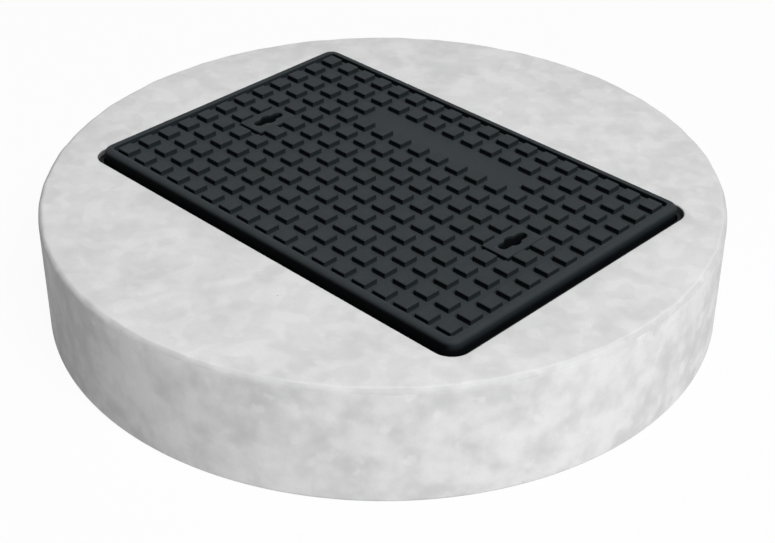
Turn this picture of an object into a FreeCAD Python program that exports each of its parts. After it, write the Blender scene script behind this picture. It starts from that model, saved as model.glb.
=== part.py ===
import FreeCAD, Part
import math
import os
import Sketcher

# A round precast concrete cover slab with a cast-in rectangular frame and a loose tread cover.
# Millimetres, +Z up. The origin is the centre of the slab's underside, and X runs along the cover.

SIZES = [
    ("slab_radius", 500.0, "radius of the round slab"),
    ("slab_height", 180.0, "height of the slab"),
    ("slab_top_round", 9.0, "rounding of the slab's top edge"),
    ("slab_foot_round", 5.0, "rounding of the slab's bottom edge"),
    ("recess_length", 742.0, "recess in the concrete, along X"),
    ("recess_width", 508.0, "recess in the concrete, along Y"),
    ("recess_corner", 30.0, "corner radius of the recess in plan"),
    ("recess_lip_round", 2.5, "rounding of the concrete's edge at the recess"),
    ("throat_draft", 3.0, "draft of the shaft opening through the slab, degrees"),
    ("throat_corner", 14.0, "corner radius of the shaft opening"),
    ("frame_wall", 8.0, "thickness of the frame's upright wall"),
    ("frame_drop", 8.5, "frame's top edge below the slab's top"),
    ("ledge_width", 45.0, "width of the frame's inner ledge"),
    ("ledge_thickness", 9.0, "thickness of the frame's ledge"),
    ("lug_reach", 30.0, "how far an anchor lug stands out of the frame"),
    ("lug_width", 60.0, "width of an anchor lug"),
    ("lug_hole_radius", 8.0, "radius of the hole in an anchor lug"),
    ("lug_rib_width", 8.0, "width of the rib above an anchor lug"),
    ("lug_rib_height", 20.0, "height of the rib above an anchor lug"),
    ("lug_rib_gap", 1.5, "rib's foot before the hole in its lug"),
    ("long_lug_pitch", 220.0, "pitch of the three lugs on a long side"),
    ("short_lug_pitch", 240.0, "pitch of the two lugs on a short side"),
    ("gasket_thickness", 4.0, "thickness of the seat gasket"),
    ("gasket_width", 22.0, "width of the seat gasket"),
    ("gasket_inset", 5.0, "gasket's outer edge inside the frame's wall"),
    ("cover_gap", 3.0, "gap between the cover and the frame's wall"),
    ("cover_proud", 13.0, "cover's rim above the slab's top"),
    ("skirt_depth", 45.0, "height of the cover from skirt to rim"),
    ("skirt_width", 14.0, "width of the cover's skirt"),
    ("rim_round", 8.0, "rounding of the rim's outer edge"),
    ("stud_pitch", 38.5, "pitch of the studs, both ways"),
    ("stud_side", 24.0, "side of a stud at its top"),
    ("stud_height", 8.0, "height of a stud over the field"),
    ("stud_draft", 4.0, "draft of a stud's sides, degrees"),
    ("stud_columns", 18, "studs along X"),
    ("stud_rows", 12, "studs along Y"),
    ("rim_groove", 6.25, "gap between the outer studs and the rim"),
    ("field_corner", 7.0, "corner radius of the sunken field"),
    ("blank_columns", 8, "studs left out along the bare band"),
    ("blank_row", 3, "row of the bare band, counted from +Y"),
    ("skin_thickness", 9.0, "thickness of the cover's skin under the field"),
    ("rib_width", 7.0, "width of a rib under the cover"),
    ("rib_bay", 3, "stud pitches from one rib to the next, where a key insert stands"),
    ("long_rib_count", 4, "ribs that run along X"),
    ("middle_rib_count", 3, "ribs along Y between the two key bays"),
    ("rib_drop", 8.0, "how far the ribs reach below the skirt"),
    ("rib_clearance", 8.0, "gap between the ribs' lower step and the ledge"),
    ("key_column", 3, "column of the left key insert, counted from -X"),
    ("insert_length", 77.0, "key insert's raised block, along Y"),
    ("insert_width", 47.5, "key insert's raised block, along X"),
    ("insert_corner", 4.0, "corner radius of the key insert's block"),
    ("insert_rise", 6.0, "insert's top over the field"),
    ("insert_flange", 14.0, "insert's flange around the block, under the skin"),
    ("insert_flange_thickness", 5.0, "thickness of the insert's flange"),
    ("insert_clearance", 0.25, "gap between the insert's block and the cover's window"),
    ("slot_length", 54.0, "key slot, along Y"),
    ("slot_width", 15.0, "width of the key slot"),
    ("slot_end_radius", 7.35, "corner radius at the slot's ends"),
    ("slot_eye_radius", 12.0, "radius of the key slot's round middle"),
    ("cup_wall", 3.0, "wall of the key cup"),
    ("cup_depth", 31.0, "key cup from its flange's top to its underside"),
    ("key_sweep", 2.0, "room between the turning key and the cup's wall"),
    ("screw_radius", 2.5, "radius of a cup screw"),
    ("screw_clearance", 0.3, "gap round the screw in the flanges"),
    ("screw_grip", 7.0, "length of the screw in the cover's skin"),
    ("screw_head_radius", 4.5, "radius of a screw's head"),
    ("screw_head_height", 3.0, "height of a screw's head"),
    ("screw_inset", 7.0, "screw's axis inside the flange's edge"),
    ("bar_radius", 5.0, "radius of a reinforcing bar"),
    ("concrete_cover", 25.0, "concrete over the bars"),
    ("bar_side_gap", 34.0, "first bar's axis beside the shaft opening"),
    ("bar_pitch", 60.0, "pitch of the two bars on a side"),
    ("bar_end_gap", 20.0, "bar's end inside the ring bar's axis"),
    ("corner_bar_length", 260.0, "length of a slanting corner bar"),
    ("corner_bar_gap", 30.0, "corner bar's axis beyond the opening's corner"),
    ("link_radius", 3.0, "radius of an upright link"),
    ("link_count", 12, "upright links round the slab"),
    ("tie_gap", 0.4, "tie wire's room between crossing bars"),
    ("recess_floor_gap", 12.0, "upper bars' surface under the frame's ledge"),
]

# Expressions that several pieces share. Each names cells of the sheet only.
FRAME_TOP = "(Sizes.slab_height - Sizes.frame_drop)"
SEAT_TOP = "(Sizes.slab_height + Sizes.cover_proud - Sizes.skirt_depth)"
LEDGE_TOP = f"({SEAT_TOP} - Sizes.gasket_thickness)"
LEDGE_FOOT = f"({LEDGE_TOP} - Sizes.ledge_thickness)"
FRAME_INNER_LENGTH = "(Sizes.recess_length - 2 * Sizes.frame_wall)"
FRAME_INNER_WIDTH = "(Sizes.recess_width - 2 * Sizes.frame_wall)"
FRAME_INNER_CORNER = "(Sizes.recess_corner - Sizes.frame_wall)"
CLEAR_LENGTH = f"({FRAME_INNER_LENGTH} - 2 * Sizes.ledge_width)"
CLEAR_WIDTH = f"({FRAME_INNER_WIDTH} - 2 * Sizes.ledge_width)"
COVER_LENGTH = f"({FRAME_INNER_LENGTH} - 2 * Sizes.cover_gap)"
COVER_WIDTH = f"({FRAME_INNER_WIDTH} - 2 * Sizes.cover_gap)"
COVER_CORNER = f"({FRAME_INNER_CORNER} - Sizes.cover_gap)"
FIELD_TOP = "(Sizes.skirt_depth - Sizes.stud_height)"
SKIN_FOOT = f"({FIELD_TOP} - Sizes.skin_thickness)"
FIELD_LENGTH = "((Sizes.stud_columns - 1) * Sizes.stud_pitch + Sizes.stud_side + 2 * Sizes.rim_groove)"
FIELD_WIDTH = "((Sizes.stud_rows - 1) * Sizes.stud_pitch + Sizes.stud_side + 2 * Sizes.rim_groove)"
KEY_BAY = "(Sizes.rib_bay * Sizes.stud_pitch)"
FIRST_STUD_X = "(-(Sizes.stud_columns - 1) * Sizes.stud_pitch / 2)"
FIRST_STUD_Y = "(-(Sizes.stud_rows - 1) * Sizes.stud_pitch / 2)"
KEY_X = "(((Sizes.stud_columns - 1) / 2 - Sizes.key_column + 1) * Sizes.stud_pitch)"
WINDOW_LENGTH = "(Sizes.insert_length + 2 * Sizes.insert_clearance)"
WINDOW_WIDTH = "(Sizes.insert_width + 2 * Sizes.insert_clearance)"
WINDOW_CORNER = "(Sizes.insert_corner + Sizes.insert_clearance)"
FLANGE_LENGTH = "(Sizes.insert_length + 2 * Sizes.insert_flange)"
FLANGE_WIDTH = "(Sizes.insert_width + 2 * Sizes.insert_flange)"
SCREW_X = f"({FLANGE_WIDTH} / 2 - Sizes.screw_inset)"
SCREW_Y = f"({FLANGE_LENGTH} / 2 - Sizes.screw_inset)"
SCREW_SPACING = [("X_Axis", f"2 * {SCREW_X}", "2"), ("Y_Axis", f"2 * {SCREW_Y}", "2")]
FLANGE_FOOT = f"({SEAT_TOP} + {SKIN_FOOT} - Sizes.insert_flange_thickness)"
RING_RADIUS = "(Sizes.slab_radius - Sizes.concrete_cover - Sizes.bar_radius)"
LOWER_BAR_Z = "(Sizes.concrete_cover + Sizes.bar_radius)"
BAR_LAYER = "(2 * Sizes.bar_radius + Sizes.tie_gap)"
UPPER_BAR_Z = f"({LEDGE_FOOT} - Sizes.recess_floor_gap - Sizes.bar_radius)"
UPPER_RING_Z = "(Sizes.slab_height - Sizes.concrete_cover - Sizes.bar_radius)"

# Two places nearer than this, in millimetres, count as one when edges are chosen.
NEAR = 1e-4


def make_sheet(doc):
    """The driving sizes, one row each: name, value and what it is."""
    sheet = doc.addObject("Spreadsheet::Sheet", "Sizes")
    for row, (alias, value, note) in enumerate(SIZES, start=1):
        sheet.set(f"A{row}", alias)
        sheet.set(f"B{row}", str(value))
        sheet.set(f"C{row}", note)
        sheet.setAlias(f"B{row}", alias)
    doc.recompute()
    return sheet


def new_body(doc, name, x="0", y="0", z="0"):
    """A body that carries the piece's name and stands at x, y, z."""
    body = doc.addObject("PartDesign::Body", name)
    body.Label = name
    place(body, x, y, z)
    return body


def place(obj, x, y, z):
    obj.setExpression("Placement.Base.x", x)
    obj.setExpression("Placement.Base.y", y)
    obj.setExpression("Placement.Base.z", z)


def origin_part(body, role):
    """The body's own origin plane or axis with this role."""
    return next(item for item in body.Origin.OriginFeatures if item.Role == role)


def new_sketch(body, name, plane="XY_Plane", offset="0"):
    """A sketch on one of the body's own planes, lifted along the plane's normal."""
    sketch = body.newObject("Sketcher::SketchObject", name)
    sketch.AttachmentSupport = [(origin_part(body, plane), "")]
    sketch.MapMode = "FlatFace"
    sketch.setExpression("AttachmentOffset.Base.z", offset)
    return sketch


def measure(obj, formula):
    """The number that a formula of the sheet gives now."""
    return float(obj.evalExpression(formula))


def bind(sketch, constraint, name, formula):
    """Adds a driving constraint and ties it to a formula of the sheet."""
    index = sketch.addConstraint(constraint)
    sketch.renameConstraint(index, name)
    sketch.setExpression(f"Constraints.{name}", formula)


def hold_at(sketch, geometry, point, tag, x, y):
    """Holds a point of the sketch at x and y from the sketch's origin."""
    across, up = measure(sketch, x), measure(sketch, y)
    bind(sketch, Sketcher.Constraint("DistanceX", -1, 1, geometry, point, across), f"{tag}_x", x)
    bind(sketch, Sketcher.Constraint("DistanceY", -1, 1, geometry, point, up), f"{tag}_y", y)


def rounded_rectangle(sketch, tag, length, width, corner, x="0", y="0"):
    """Four sides and four corner arcs of one radius, with the centre of one corner's arc held in place."""
    mid_x, mid_y = measure(sketch, x), measure(sketch, y)
    radius = measure(sketch, corner)
    reach_x, reach_y = measure(sketch, length) / 2, measure(sketch, width) / 2
    arc_x, arc_y = reach_x - radius, reach_y - radius
    sides = [
        ((-arc_x, -reach_y), (arc_x, -reach_y)),
        ((reach_x, -arc_y), (reach_x, arc_y)),
        ((arc_x, reach_y), (-arc_x, reach_y)),
        ((-reach_x, arc_y), (-reach_x, -arc_y)),
    ]
    corners = [(arc_x, -arc_y, -90), (arc_x, arc_y, 0), (-arc_x, arc_y, 90), (-arc_x, -arc_y, 180)]
    first = sketch.GeometryCount
    for (x0, y0), (x1, y1) in sides:
        start = FreeCAD.Vector(mid_x + x0, mid_y + y0, 0)
        end = FreeCAD.Vector(mid_x + x1, mid_y + y1, 0)
        sketch.addGeometry(Part.LineSegment(start, end), False)
    for centre_x, centre_y, start in corners:
        centre = FreeCAD.Vector(mid_x + centre_x, mid_y + centre_y, 0)
        whole = Part.Circle(centre, FreeCAD.Vector(0, 0, 1), radius)
        arc = Part.ArcOfCircle(whole, math.radians(start), math.radians(start + 90))
        sketch.addGeometry(arc, False)
    for index in range(4):
        side, arc, following = first + index, first + 4 + index, first + (index + 1) % 4
        sketch.addConstraint(Sketcher.Constraint("Tangent", side, 2, arc, 1))
        sketch.addConstraint(Sketcher.Constraint("Tangent", arc, 2, following, 1))
    sketch.addConstraint(Sketcher.Constraint("Horizontal", first))
    for index in range(1, 4):
        sketch.addConstraint(Sketcher.Constraint("Equal", first + 4, first + 4 + index))
    bind(sketch, Sketcher.Constraint("Radius", first + 4, radius), f"{tag}_corner", corner)
    centre_x, centre_y = f"{x} + {length} / 2 - {corner}", f"{y} + {width} / 2 - {corner}"
    hold_at(sketch, first + 5, 3, f"{tag}_centre", centre_x, centre_y)
    length_held = Sketcher.Constraint("DistanceX", first + 3, 1, first + 1, 1, 2 * reach_x)
    bind(sketch, length_held, f"{tag}_length", length)
    width_held = Sketcher.Constraint("DistanceY", first, 1, first + 2, 1, 2 * reach_y)
    bind(sketch, width_held, f"{tag}_width", width)


def polygon(sketch, corners):
    """A closed outline of straight sides through corners given as formulas of x and y."""
    first = sketch.GeometryCount
    count = len(corners)
    points = [FreeCAD.Vector(measure(sketch, x), measure(sketch, y), 0) for x, y in corners]
    for index in range(count):
        sketch.addGeometry(Part.LineSegment(points[index], points[(index + 1) % count]), False)
    for index in range(count):
        following = first + (index + 1) % count
        sketch.addConstraint(Sketcher.Constraint("Coincident", first + index, 2, following, 1))
    for index, (x, y) in enumerate(corners):
        hold_at(sketch, first + index, 1, f"corner{index}", x, y)


def circle(sketch, tag, radius, x="0", y="0"):
    centre = FreeCAD.Vector(measure(sketch, x), measure(sketch, y), 0)
    size = measure(sketch, radius)
    index = sketch.addGeometry(Part.Circle(centre, FreeCAD.Vector(0, 0, 1), size), False)
    bind(sketch, Sketcher.Constraint("Radius", index, size), f"{tag}_radius", radius)
    hold_at(sketch, index, 3, f"{tag}_centre", x, y)


def pad(body, sketch, name, length, taper=None, down=False, midplane=False):
    feature = body.newObject("PartDesign::Pad", name)
    feature.Profile = sketch
    feature.setExpression("Length", length)
    feature.Reversed = down
    if midplane:
        feature.SideType = "Symmetric"
    if taper:
        feature.setExpression("TaperAngle", taper)
    return feature


def pocket(body, sketch, name, length=None, taper=None, up=False):
    """A cut below the sketch, or above it, to a depth or right through."""
    feature = body.newObject("PartDesign::Pocket", name)
    feature.Profile = sketch
    feature.Reversed = up
    if length:
        feature.setExpression("Length", length)
    else:
        feature.Type = "ThroughAll"
    if taper:
        feature.setExpression("TaperAngle", taper)
    return feature


def repeat(body, name, originals, rows, planes=()):
    """Copies in rows, each given as (axis, pitch, count), then all once more across each named plane."""
    steps = []
    for axis, pitch, count in rows:
        row = body.Document.addObject("PartDesign::LinearPattern", f"{name}_{axis}")
        row.Direction = (origin_part(body, axis), [""])
        row.Mode = "Spacing"
        row.setExpression("Offset", pitch)
        row.setExpression("Occurrences", count)
        steps.append(row)
    for plane in planes:
        mirror = body.Document.addObject("PartDesign::Mirrored", f"{name}_{plane}")
        mirror.MirrorPlane = (origin_part(body, plane), [""])
        steps.append(mirror)
    pattern = body.newObject("PartDesign::MultiTransform", name)
    pattern.Originals = originals
    pattern.Transformations = steps
    body.Tip = pattern


def round_edges(body, name, feature, radius, chosen):
    """A fillet on the edges of a finished feature that the test chooses."""
    body.Document.recompute()
    edges = [f"Edge{index}" for index, edge in enumerate(feature.Shape.Edges, start=1) if chosen(edge)]
    if not edges:
        raise RuntimeError(f"{name} found no edges")
    fillet = body.newObject("PartDesign::Fillet", name)
    fillet.Base = (feature, edges)
    fillet.setExpression("Radius", radius)
    return fillet


def lies_at(edge, z):
    """True for an edge that runs wholly at the height z."""
    return abs(edge.BoundBox.ZMin - z) < NEAR and abs(edge.BoundBox.ZMax - z) < NEAR


def make_frame(doc):
    """The cast frame: an upright wall, a ledge inside at its foot and anchor lugs outside."""
    body = new_body(doc, "cover_frame")
    outline = new_sketch(body, "frame_outline", offset=LEDGE_FOOT)
    rounded_rectangle(outline, "wall", "Sizes.recess_length", "Sizes.recess_width", "Sizes.recess_corner")
    pad(body, outline, "frame_wall_block", f"{FRAME_TOP} - {LEDGE_FOOT}")
    mouth = new_sketch(body, "frame_mouth", offset=FRAME_TOP)
    rounded_rectangle(mouth, "mouth", FRAME_INNER_LENGTH, FRAME_INNER_WIDTH, FRAME_INNER_CORNER)
    pocket(body, mouth, "frame_seat", f"{FRAME_TOP} - {LEDGE_TOP}")
    clear = new_sketch(body, "clear_opening", offset=LEDGE_TOP)
    rounded_rectangle(clear, "clear", CLEAR_LENGTH, CLEAR_WIDTH, "Sizes.throat_corner")
    pocket(body, clear, "ledge_opening")
    long_x, short_y = "(-Sizes.long_lug_pitch)", "(-Sizes.short_lug_pitch / 2)"
    long_lug = anchor_lug(body, "long_lug", long_x, "Sizes.recess_width / 2", False)
    repeat(body, "long_lugs", long_lug, [("X_Axis", "Sizes.long_lug_pitch", "3")], ["XZ_Plane"])
    short_lug = anchor_lug(body, "short_lug", short_y, "Sizes.recess_length / 2", True)
    repeat(body, "short_lugs", short_lug, [("Y_Axis", "Sizes.short_lug_pitch", "2")], ["YZ_Plane"])
    return body


def anchor_lug(body, name, along, wall_face, turned):
    """A holed plate at the foot of the wall, under an upright rib. Turned lugs stand on the short walls."""
    root, tip = f"{wall_face} - Sizes.frame_wall / 2", f"{wall_face} + Sizes.lug_reach"
    near, far = f"{along} - Sizes.lug_width / 2", f"{along} + Sizes.lug_width / 2"
    corners = [(near, root), (far, root), (far, tip), (near, tip)]
    centre = (along, f"{wall_face} + Sizes.lug_reach / 2")
    rib_plane, rib_place = "YZ_Plane", along
    if turned:
        corners = [corner[::-1] for corner in corners]
        centre = centre[::-1]
        rib_plane, rib_place = "XZ_Plane", f"-({along})"
    plate = new_sketch(body, f"{name}_plate", offset=LEDGE_FOOT)
    polygon(plate, corners)
    lug = pad(body, plate, f"{name}_pad", "Sizes.ledge_thickness")
    side = new_sketch(body, f"{name}_rib_side", rib_plane, rib_place)
    rib_root = f"{LEDGE_TOP} - Sizes.ledge_thickness / 2"
    rib_end = f"{wall_face} + Sizes.lug_reach / 2 - Sizes.lug_hole_radius - Sizes.lug_rib_gap"
    polygon(side, [(root, rib_root), (rib_end, rib_root), (rib_end, LEDGE_TOP),
                   (wall_face, f"{LEDGE_TOP} + Sizes.lug_rib_height"),
                   (root, f"{LEDGE_TOP} + Sizes.lug_rib_height")])
    rib = pad(body, side, f"{name}_rib", "Sizes.lug_rib_width", midplane=True)
    drill = new_sketch(body, f"{name}_hole_circle", offset=LEDGE_TOP)
    circle(drill, "hole", "Sizes.lug_hole_radius", *centre)
    hole = pocket(body, drill, f"{name}_hole", "Sizes.ledge_thickness")
    return [lug, rib, hole]


def make_slab_blank(doc):
    """The round slab with its rounded edges, the recess for the frame and the tapered shaft opening."""
    body = new_body(doc, "slab_blank")
    outline = new_sketch(body, "slab_outline")
    circle(outline, "slab", "Sizes.slab_radius")
    disc = pad(body, outline, "slab_disc", "Sizes.slab_height")
    top = measure(body, "Sizes.slab_height")
    crown = round_edges(body, "slab_crown", disc, "Sizes.slab_top_round", lambda edge: lies_at(edge, top))
    foot = round_edges(body, "slab_foot", crown, "Sizes.slab_foot_round", lambda edge: lies_at(edge, 0))
    mouth = new_sketch(body, "recess_outline", offset="Sizes.slab_height")
    rounded_rectangle(mouth, "recess", "Sizes.recess_length", "Sizes.recess_width", "Sizes.recess_corner")
    recess = pocket(body, mouth, "recess", f"Sizes.slab_height - {LEDGE_FOOT}")
    reach = measure(body, "Sizes.recess_length") / 2 + NEAR

    def on_recess(edge):
        return lies_at(edge, top) and edge.BoundBox.XMax <= reach and edge.BoundBox.XMin >= -reach

    round_edges(body, "recess_lip", recess, "Sizes.recess_lip_round", on_recess)
    throat = new_sketch(body, "throat_outline", offset=LEDGE_FOOT)
    rounded_rectangle(throat, "throat", CLEAR_LENGTH, CLEAR_WIDTH, "Sizes.throat_corner")
    pocket(body, throat, "throat", LEDGE_FOOT, taper="Sizes.throat_draft")
    return body


def make_gasket(doc):
    """The flat ring that lies on the ledge under the cover's skirt."""
    body = new_body(doc, "seat_gasket", z=LEDGE_TOP)
    ring = new_sketch(body, "gasket_outline")
    outer_length = f"({FRAME_INNER_LENGTH} - 2 * Sizes.gasket_inset)"
    outer_width = f"({FRAME_INNER_WIDTH} - 2 * Sizes.gasket_inset)"
    outer_corner = f"({FRAME_INNER_CORNER} - Sizes.gasket_inset)"
    rounded_rectangle(ring, "outer", outer_length, outer_width, outer_corner)
    inner_length = f"({outer_length} - 2 * Sizes.gasket_width)"
    inner_width = f"({outer_width} - 2 * Sizes.gasket_width)"
    rounded_rectangle(ring, "inner", inner_length, inner_width, "Sizes.throat_corner")
    pad(body, ring, "gasket_ring", "Sizes.gasket_thickness")
    return body


def make_cover(doc):
    """The tread cover: rim, sunken field with studs, skin, skirt and ribs. Its zero is the skirt's foot."""
    body = new_body(doc, "tread_cover", z=SEAT_TOP)
    outline = new_sketch(body, "cover_outline")
    rounded_rectangle(outline, "cover", COVER_LENGTH, COVER_WIDTH, COVER_CORNER)
    block = pad(body, outline, "cover_block", "Sizes.skirt_depth")
    top = measure(body, "Sizes.skirt_depth")
    round_edges(body, "rim_round", block, "Sizes.rim_round", lambda edge: lies_at(edge, top))
    outline = new_sketch(body, "field_outline", offset="Sizes.skirt_depth")
    rounded_rectangle(outline, "field", FIELD_LENGTH, FIELD_WIDTH, "Sizes.field_corner")
    pocket(body, outline, "field", "Sizes.stud_height")
    cover_underside(body)
    cover_key_seats(body)
    cover_studs(body)
    return body


def cover_studs(body):
    """Sets the studs in their grid, then clears the bare band and the places of the key inserts."""
    foot = new_sketch(body, "stud_foot", offset=FIELD_TOP)
    half = "(Sizes.stud_side / 2 + Sizes.stud_height * tan(Sizes.stud_draft))"
    west, east = f"{FIRST_STUD_X} - {half}", f"{FIRST_STUD_X} + {half}"
    south, north = f"{FIRST_STUD_Y} - {half}", f"{FIRST_STUD_Y} + {half}"
    polygon(foot, [(west, south), (east, south), (east, north), (west, north)])
    stud = pad(body, foot, "stud", "Sizes.stud_height", taper="-Sizes.stud_draft")
    columns = ("X_Axis", "Sizes.stud_pitch", "Sizes.stud_columns")
    rows = ("Y_Axis", "Sizes.stud_pitch", "Sizes.stud_rows")
    repeat(body, "studs", [stud], [columns, rows])
    band = new_sketch(body, "bare_places_outline", offset="Sizes.skirt_depth")
    band_y = "(((Sizes.stud_rows - 1) / 2 - Sizes.blank_row + 1) * Sizes.stud_pitch)"
    reach = "Sizes.blank_columns * Sizes.stud_pitch / 2"
    south, north = f"{band_y} - Sizes.stud_pitch / 2", f"{band_y} + Sizes.stud_pitch / 2"
    polygon(band, [(f"-{reach}", south), (reach, south), (reach, north), (f"-{reach}", north)])
    for side, sign in (("left", -1), ("right", 1)):
        rounded_rectangle(band, side, WINDOW_WIDTH, WINDOW_LENGTH, WINDOW_CORNER, x=f"{sign} * {KEY_X}")
    pocket(body, band, "bare_places", "Sizes.stud_height")


def cover_underside(body):
    """Hollows the cover under its skin, then sets the stepped ribs across it both ways."""
    hollow = new_sketch(body, "hollow_outline", offset=SKIN_FOOT)
    length = f"({COVER_LENGTH} - 2 * Sizes.skirt_width)"
    width = f"({COVER_WIDTH} - 2 * Sizes.skirt_width)"
    rounded_rectangle(hollow, "hollow", length, width, "Sizes.field_corner")
    pocket(body, hollow, "hollow", SKIN_FOOT)
    outermost = f"(Sizes.long_rib_count - 1) / 2 * {KEY_BAY}"
    long_rib = rib(body, "long_rib", "XZ_Plane", outermost, length, CLEAR_LENGTH)
    repeat(body, "long_ribs", [long_rib], [("Y_Axis", KEY_BAY, "Sizes.long_rib_count")])
    key_rib = rib(body, "key_rib", "YZ_Plane", f"-({KEY_X} + {KEY_BAY} / 2)", width, CLEAR_WIDTH)
    repeat(body, "key_ribs", [key_rib], [("X_Axis", KEY_BAY, "2")], ["YZ_Plane"])
    middle_bay = f"((2 * {KEY_X} - {KEY_BAY}) / (Sizes.middle_rib_count + 1))"
    outermost = f"-(Sizes.middle_rib_count - 1) / 2 * {middle_bay}"
    middle_rib = rib(body, "middle_rib", "YZ_Plane", outermost, width, CLEAR_WIDTH)
    repeat(body, "middle_ribs", [middle_rib], [("X_Axis", middle_bay, "Sizes.middle_rib_count")])


def rib(body, name, plane, place_across, hollow_reach, clear_reach):
    """One rib from skirt to skirt, with a deeper middle part that drops into the frame's clear opening."""
    side = new_sketch(body, f"{name}_side", plane, place_across)
    end = f"({hollow_reach} / 2 + Sizes.rib_width / 2)"
    step = f"({clear_reach} / 2 - Sizes.rib_clearance)"
    top = f"({SKIN_FOOT} + Sizes.skin_thickness / 2)"
    drop = "(-Sizes.rib_drop)"
    polygon(side, [(f"-{end}", top), (f"-{end}", "0"), (f"-{step}", "0"), (f"-{step}", drop),
                   (step, drop), (step, "0"), (end, "0"), (end, top)])
    return pad(body, side, name, "Sizes.rib_width", midplane=True)


def cover_key_seats(body):
    """Cuts a window for each key insert through the skin, and the blind screw holes beside it."""
    window = new_sketch(body, "window_outline", offset="Sizes.skirt_depth")
    rounded_rectangle(window, "window", WINDOW_WIDTH, WINDOW_LENGTH, WINDOW_CORNER, x=KEY_X)
    cut = pocket(body, window, "window")
    repeat(body, "windows", [cut], [], ["YZ_Plane"])
    drill = new_sketch(body, "screw_hole_circle", offset=SKIN_FOOT)
    circle(drill, "hole", "Sizes.screw_radius", f"{KEY_X} - {SCREW_X}", f"-{SCREW_Y}")
    hole = pocket(body, drill, "screw_hole", "Sizes.screw_grip", up=True)
    repeat(body, "screw_holes", [hole], SCREW_SPACING, ["YZ_Plane"])


def make_insert(doc, name, side):
    """The key insert: a raised block with the key's slot, over a flange borne by the skin from below."""
    body = new_body(doc, name, x=f"{side} * {KEY_X}", z=FLANGE_FOOT)
    base = new_sketch(body, f"{name}_flange_outline")
    rounded_rectangle(base, "flange", FLANGE_WIDTH, FLANGE_LENGTH, "Sizes.insert_corner")
    pad(body, base, f"{name}_flange", "Sizes.insert_flange_thickness")
    raised = new_sketch(body, f"{name}_block_outline")
    rounded_rectangle(raised, "block", "Sizes.insert_width", "Sizes.insert_length", "Sizes.insert_corner")
    height = "Sizes.insert_flange_thickness + Sizes.skin_thickness + Sizes.insert_rise"
    pad(body, raised, f"{name}_block", height)
    mouth = new_sketch(body, f"{name}_slot_outline", offset=height)
    rounded_rectangle(mouth, "slot", "Sizes.slot_width", "Sizes.slot_length", "Sizes.slot_end_radius")
    pocket(body, mouth, f"{name}_slot")
    middle = new_sketch(body, f"{name}_eye_circle", offset=height)
    circle(middle, "eye", "Sizes.slot_eye_radius")
    pocket(body, middle, f"{name}_eye")
    drill_flange(body, name, "Sizes.insert_flange_thickness", "Sizes.insert_flange_thickness")
    return body


def drill_flange(body, name, top, depth):
    """Four screw holes near a flange's corners."""
    drill = new_sketch(body, f"{name}_screw_circle", offset=top)
    circle(drill, "hole", "Sizes.screw_radius + Sizes.screw_clearance", f"-{SCREW_X}", f"-{SCREW_Y}")
    hole = pocket(body, drill, f"{name}_screw_hole", depth)
    repeat(body, f"{name}_screw_holes", [hole], SCREW_SPACING)


def make_cup(doc, name, side):
    """The blind cup under a key insert, with the same flange outline. Its own zero is the flange's top."""
    body = new_body(doc, name, x=f"{side} * {KEY_X}", z=FLANGE_FOOT)
    plate = new_sketch(body, f"{name}_flange_outline")
    rounded_rectangle(plate, "flange", FLANGE_WIDTH, FLANGE_LENGTH, "Sizes.insert_corner")
    pad(body, plate, f"{name}_flange", "Sizes.cup_wall", down=True)
    inner = "(Sizes.slot_length / 2 + Sizes.key_sweep)"
    shell = new_sketch(body, f"{name}_shell_circle")
    circle(shell, "shell", f"{inner} + Sizes.cup_wall")
    pad(body, shell, f"{name}_shell", "Sizes.cup_depth", down=True)
    room = new_sketch(body, f"{name}_room_circle")
    circle(room, "room", inner)
    pocket(body, room, f"{name}_room", "Sizes.cup_depth - Sizes.cup_wall")
    drill_flange(body, name, "0", "Sizes.cup_wall")
    return body


def make_screws(doc, name, side):
    """The four screws of one cup, each a shank and a round head under the cup's flange."""
    screws = []
    for corner, (sign_x, sign_y) in enumerate([(-1, -1), (1, -1), (1, 1), (-1, 1)]):
        x = f"{side} * {KEY_X} + {sign_x} * {SCREW_X}"
        y = f"{sign_y} * {SCREW_Y}"
        seat = f"{FLANGE_FOOT} - Sizes.cup_wall"
        grip = "Sizes.cup_wall + Sizes.insert_flange_thickness + Sizes.screw_grip"
        shank = rod(doc, f"{name}_shank{corner}", "Sizes.screw_radius", grip, x, y, seat)
        head_foot = f"{seat} - Sizes.screw_head_height"
        head_size = ("Sizes.screw_head_radius", "Sizes.screw_head_height")
        head = rod(doc, f"{name}_head{corner}", *head_size, x, y, head_foot)
        screw = doc.addObject("Part::Fuse", f"{name}_screw{corner}")
        screw.Base = head
        screw.Tool = shank
        screws.append(screw)
    return group(doc, name, screws)


def rod(doc, name, radius, length, x, y, z, axis=(0, 0, 1)):
    """A round bar whose foot is centred at x, y, z and which runs along the vector axis."""
    bar = doc.addObject("Part::Cylinder", name)
    bar.setExpression("Radius", radius)
    bar.setExpression("Height", length)
    place(bar, x, y, z)
    bar.Placement.Rotation = FreeCAD.Rotation(FreeCAD.Vector(0, 0, 1), FreeCAD.Vector(*axis))
    return bar


def group(doc, name, members):
    """Several alike solids as one named piece."""
    bundle = doc.addObject("Part::Compound", name)
    bundle.Label = name
    bundle.Links = members
    return bundle


def make_ring(doc, name, z):
    """A ring bar, welded shut."""
    ring = doc.addObject("Part::Torus", name)
    ring.Label = name
    ring.setExpression("Radius1", RING_RADIUS)
    ring.setExpression("Radius2", "Sizes.bar_radius")
    place(ring, "0", "0", z)
    return ring


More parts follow.
